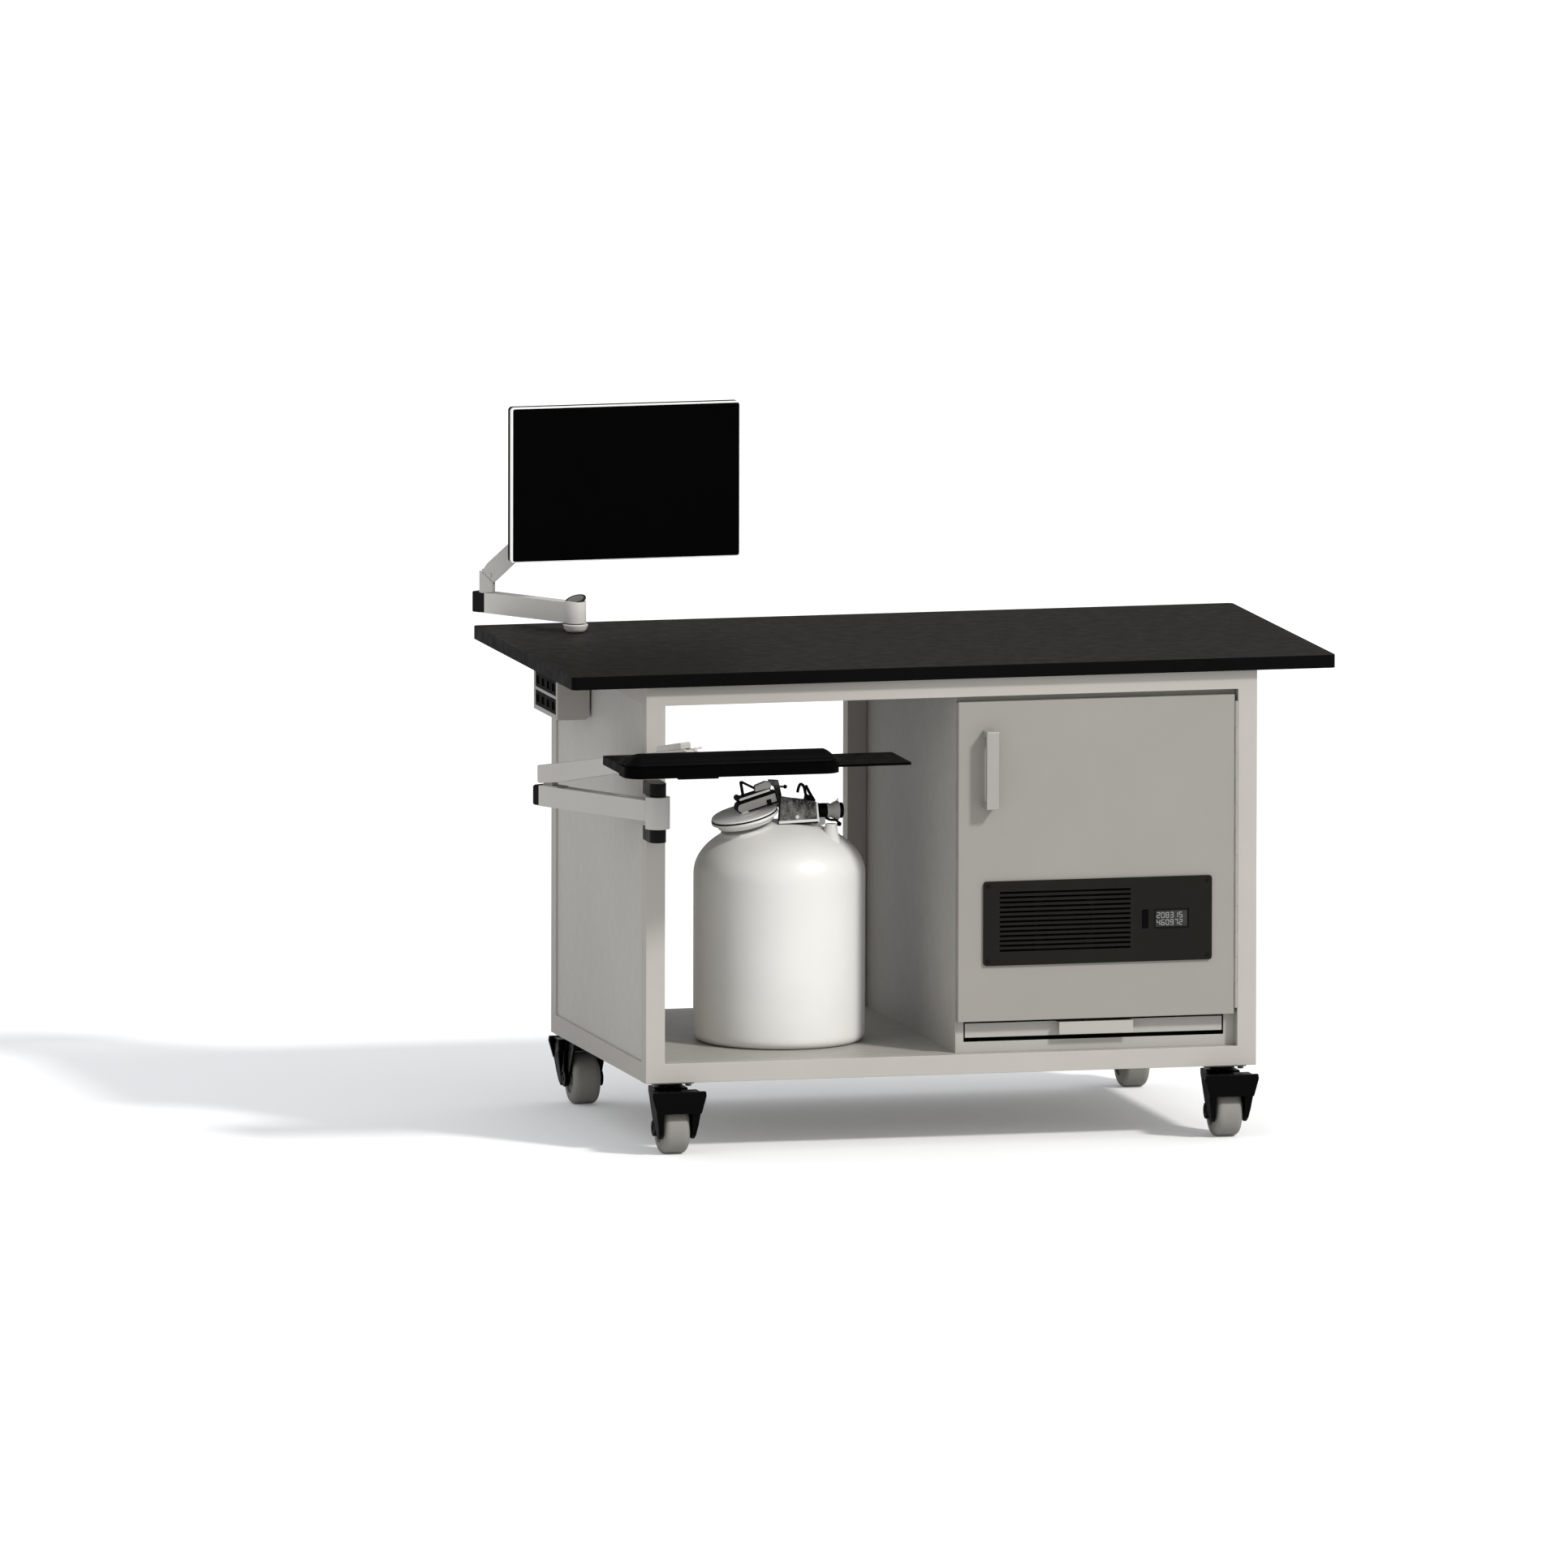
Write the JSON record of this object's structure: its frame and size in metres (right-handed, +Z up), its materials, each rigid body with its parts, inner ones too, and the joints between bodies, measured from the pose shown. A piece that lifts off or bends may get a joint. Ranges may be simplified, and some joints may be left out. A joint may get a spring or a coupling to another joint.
{
  "type": "mass spectrometer bench",
  "caption": "Rolling instrument bench with dark worktop, open bay with waste can, sound-lined pump cabinet with ventilated door and pull-out tray, and side arms for a screen and a keyboard",
  "frame": {"origin": "on the floor, under the middle of the tube frame and the worktop", "axes": "X to the bench's right as seen from its front, Y to the back, Z up"},
  "size_m": [1.5404, 1.2349, 1.3783],
  "materials": {
    "frame_paint": "light warm grey powder coat",
    "door_paint": "light warm grey powder coat",
    "worktop_laminate": "dark grey laminate, fine texture",
    "foam": "dark open-cell acoustic foam",
    "bare_steel": "bright steel",
    "can_fittings": "stainless closure",
    "fork_zinc": "zinc plated",
    "wheel_rubber": "grey non-marking tread on a grey hub",
    "black_plastic": "black",
    "vent_paint": "black powder coat",
    "display_face": "dark display window",
    "outlet_steel": "light grey",
    "arm_silver": "silver grey paint",
    "arm_black": "black",
    "monitor_case": "light silver rim, dark back",
    "monitor_glass": "dark anti-glare panel",
    "tray_plastic": "black",
    "palm_foam": "black soft palm rest skin",
    "can_plastic": "natural white polyethylene"
  },
  "bodies": {
    "bench": {"frame_legs": "frame_paint", "frame_rails": "frame_paint", "worktop": "worktop_laminate", "deck_shelf": "frame_paint", "side_panels": "frame_paint", "cabinet_wall": "frame_paint", "cabinet_back": "frame_paint", "cabinet_front_frame": "frame_paint", "acoustic_lining": "foam", "door_hinge_leaf": "bare_steel", "tray_runners": "frame_paint", "outlet_box": "outlet_steel", "outlet_sockets": "black_plastic", "caster_plates": "bare_steel", "arm_base": "arm_silver", "kb_arm_bracket": "black_plastic"},
    "door": {"door_panel": "door_paint", "door_liner": "foam", "door_hinge_wing": "bare_steel", "door_handle": "arm_silver", "vent_panel": "vent_paint", "fan_frame": "black_plastic", "display_module": "display_face"},
    "fan": {"fan_rotor": "black_plastic"},
    "rocker": {"rocker_switch": "black_plastic"},
    "tray": {"pump_tray": "frame_paint"},
    "arm_lower": {"arm_lower_link": "arm_silver", "arm_link_caps": "black_plastic"},
    "arm_mid": {"arm_elbow": "arm_silver"},
    "arm_upper": {"arm_lift_link": "arm_silver"},
    "arm_level": {"arm_head": "arm_silver"},
    "arm_yoke": {"vesa_yoke": "arm_silver"},
    "screen": {"vesa_plate": "arm_black", "monitor_housing": "monitor_case", "monitor_screen": "monitor_glass"},
    "kb_lower": {"kb_lower_link": "arm_silver", "kb_link_cap": "black_plastic"},
    "kb_mid": {"kb_elbow": "arm_silver"},
    "kb_upper": {"kb_lift_link": "arm_silver"},
    "kb_level": {"kb_head": "arm_silver"},
    "kb_lever": {"release_lever": "black_plastic"},
    "kb_swivel": {"tray_bracket": "arm_black"},
    "keyboard": {"keyboard_tray": "tray_plastic", "palm_rest": "palm_foam"},
    "mouse": {"mouse_tray": "tray_plastic"},
    "can": {"can_body": "can_plastic", "can_bracket": "bare_steel"},
    "can_closure": {"can_lid": "can_fittings"},
    "caster_front_left": {"caster_fork_front_left": "fork_zinc"},
    "wheel_front_left": {"caster_wheel_front_left": "wheel_rubber"},
    "brake_front_left": {"caster_brake_front_left": "black_plastic"},
    "caster_front_right": {"caster_fork_front_right": "fork_zinc"},
    "wheel_front_right": {"caster_wheel_front_right": "wheel_rubber"},
    "brake_front_right": {"caster_brake_front_right": "black_plastic"},
    "caster_back_left": {"caster_fork_back_left": "fork_zinc"},
    "wheel_back_left": {"caster_wheel_back_left": "wheel_rubber"},
    "brake_back_left": {"caster_brake_back_left": "black_plastic"},
    "caster_back_right": {"caster_fork_back_right": "fork_zinc"},
    "wheel_back_right": {"caster_wheel_back_right": "wheel_rubber"},
    "brake_back_right": {"caster_brake_back_right": "black_plastic"}
  },
  "joints": [
    {"name": "door_hinge", "type": "hinge", "parent": "bench", "child": "door", "pos_m": [0.5682, -0.38735, 0.55325], "axis": [0, 0, 1], "range_deg": [0, 110]},
    {"name": "fan_spin", "type": "hinge", "parent": "door", "child": "fan", "pos_m": [0.22545, -0.37485, 0.4355], "axis": [0, 1, 0], "continuous": true},
    {"name": "power_rocker", "type": "hinge", "parent": "door", "child": "rocker", "pos_m": [0.38575, -0.38985, 0.43265], "axis": [1, 0, 0], "range_deg": [-8, 8]},
    {"name": "pump_tray_slide", "type": "slide", "parent": "bench", "child": "tray", "axis": [0, -1, 0], "range_m": [0, 0.35]},
    {"name": "swivel_front_left", "type": "hinge", "parent": "bench", "child": "caster_front_left", "pos_m": [-0.5516, -0.32935, 0.1247], "axis": [0, 0, 1], "continuous": true},
    {"name": "roll_front_left", "type": "hinge", "parent": "caster_front_left", "child": "wheel_front_left", "pos_m": [-0.5516, -0.36435, 0.05], "axis": [1, 0, 0], "continuous": true},
    {"name": "brake_front_left", "type": "hinge", "parent": "caster_front_left", "child": "brake_front_left", "pos_m": [-0.5516, -0.36435, 0.05], "axis": [-1, 0, 0], "range_deg": [0, 7]},
    {"name": "swivel_front_right", "type": "hinge", "parent": "bench", "child": "caster_front_right", "pos_m": [0.5516, -0.32935, 0.1247], "axis": [0, 0, 1], "continuous": true},
    {"name": "roll_front_right", "type": "hinge", "parent": "caster_front_right", "child": "wheel_front_right", "pos_m": [0.5516, -0.36435, 0.05], "axis": [1, 0, 0], "continuous": true},
    {"name": "brake_front_right", "type": "hinge", "parent": "caster_front_right", "child": "brake_front_right", "pos_m": [0.5516, -0.36435, 0.05], "axis": [-1, 0, 0], "range_deg": [0, 7]},
    {"name": "swivel_back_left", "type": "hinge", "parent": "bench", "child": "caster_back_left", "pos_m": [-0.5516, 0.32935, 0.1247], "axis": [0, 0, 1], "continuous": true},
    {"name": "roll_back_left", "type": "hinge", "parent": "caster_back_left", "child": "wheel_back_left", "pos_m": [-0.5516, 0.36435, 0.05], "axis": [1, 0, 0], "continuous": true},
    {"name": "brake_back_left", "type": "hinge", "parent": "caster_back_left", "child": "brake_back_left", "pos_m": [-0.5516, 0.36435, 0.05], "axis": [1, 0, 0], "range_deg": [0, 7]},
    {"name": "swivel_back_right", "type": "hinge", "parent": "bench", "child": "caster_back_right", "pos_m": [0.5516, 0.32935, 0.1247], "axis": [0, 0, 1], "continuous": true},
    {"name": "roll_back_right", "type": "hinge", "parent": "caster_back_right", "child": "wheel_back_right", "pos_m": [0.5516, 0.36435, 0.05], "axis": [1, 0, 0], "continuous": true},
    {"name": "brake_back_right", "type": "hinge", "parent": "caster_back_right", "child": "brake_back_right", "pos_m": [0.5516, 0.36435, 0.05], "axis": [1, 0, 0], "range_deg": [0, 7]},
    {"name": "arm_swivel", "type": "hinge", "parent": "bench", "child": "arm_lower", "pos_m": [-0.592, 0.263, 0.9781], "axis": [0, 0, 1], "range_deg": [-40, 30]},
    {"name": "arm_elbow_swivel", "type": "hinge", "parent": "arm_lower", "child": "arm_mid", "pos_m": [-0.71635, 0.45052, 0.9981], "axis": [0, 0, 1], "range_deg": [-20, 40]},
    {"name": "arm_lift", "type": "hinge", "parent": "arm_mid", "child": "arm_upper", "pos_m": [-0.71635, 0.45052, 1.0331], "axis": [-0.3919, -0.92, 0], "range_deg": [-12, 30]},
    {"name": "arm_level", "type": "hinge", "parent": "arm_upper", "child": "arm_level", "pos_m": [-0.55294, 0.38092, 1.20402], "axis": [-0.3919, -0.92, 0], "range_deg": [-30, 12]},
    {"name": "screen_swivel", "type": "hinge", "parent": "arm_level", "child": "arm_yoke", "pos_m": [-0.52258, 0.36799, 1.20402], "axis": [0, 0, 1], "range_deg": [-25, 30]},
    {"name": "screen_tilt", "type": "hinge", "parent": "arm_yoke", "child": "screen", "pos_m": [-0.48525, 0.35397, 1.22632], "axis": [0.9999, 0.0157, 0], "range_deg": [-15, 10]},
    {"name": "kb_arm_swivel", "type": "hinge", "parent": "bench", "child": "kb_lower", "pos_m": [-0.6, -0.44, 0.679], "axis": [0, 0, -1], "range_deg": [-60, 0]},
    {"name": "kb_elbow_swivel", "type": "hinge", "parent": "kb_lower", "child": "kb_mid", "pos_m": [-0.74787, -0.17324, 0.699], "axis": [0, 0, 1], "range_deg": [-110, 0]},
    {"name": "kb_lift", "type": "hinge", "parent": "kb_mid", "child": "kb_upper", "pos_m": [-0.74787, -0.17324, 0.7235], "axis": [-0.8744, -0.4853, 0], "range_deg": [-4, 12]},
    {"name": "kb_level", "type": "hinge", "parent": "kb_upper", "child": "kb_level", "pos_m": [-0.55694, -0.51726, 0.79557], "axis": [-0.8744, -0.4853, 0], "range_deg": [-12, 4]},
    {"name": "kb_release_lever", "type": "hinge", "parent": "kb_level", "child": "kb_lever", "pos_m": [-0.55694, -0.51726, 0.79557], "axis": [0.8744, 0.4853, 0], "range_deg": [0, 12], "stiffness_Nm_per_rad": 0.4},
    {"name": "kb_tray_swivel", "type": "hinge", "parent": "kb_level", "child": "kb_swivel", "pos_m": [-0.55694, -0.51726, 0.75957], "axis": [0, 0, -1], "range_deg": [-40, 40]},
    {"name": "kb_tray_tilt", "type": "hinge", "parent": "kb_swivel", "child": "keyboard", "pos_m": [-0.55694, -0.59026, 0.77657], "axis": [1, 0, 0], "range_deg": [-8, 8]},
    {"name": "mouse_slide", "type": "slide", "parent": "keyboard", "child": "mouse", "axis": [1, 0, 0], "range_m": [-0.14, 0]},
    {"name": "can_slide", "type": "slide", "parent": "bench", "child": "can", "axis": [0, -1, 0], "range_m": [0, 0.6]},
    {"name": "can_lid_hinge", "type": "hinge", "parent": "can", "child": "can_closure", "pos_m": [-0.27815, -0.10427, 0.64148], "axis": [-0.0191, 0.9965, 0.0815], "range_deg": [0, 70]}
  ],
  "couplings": [
    {"joint": "arm_level", "follows": "arm_lift", "ratio": -1},
    {"joint": "kb_level", "follows": "kb_lift", "ratio": -1}
  ]
}
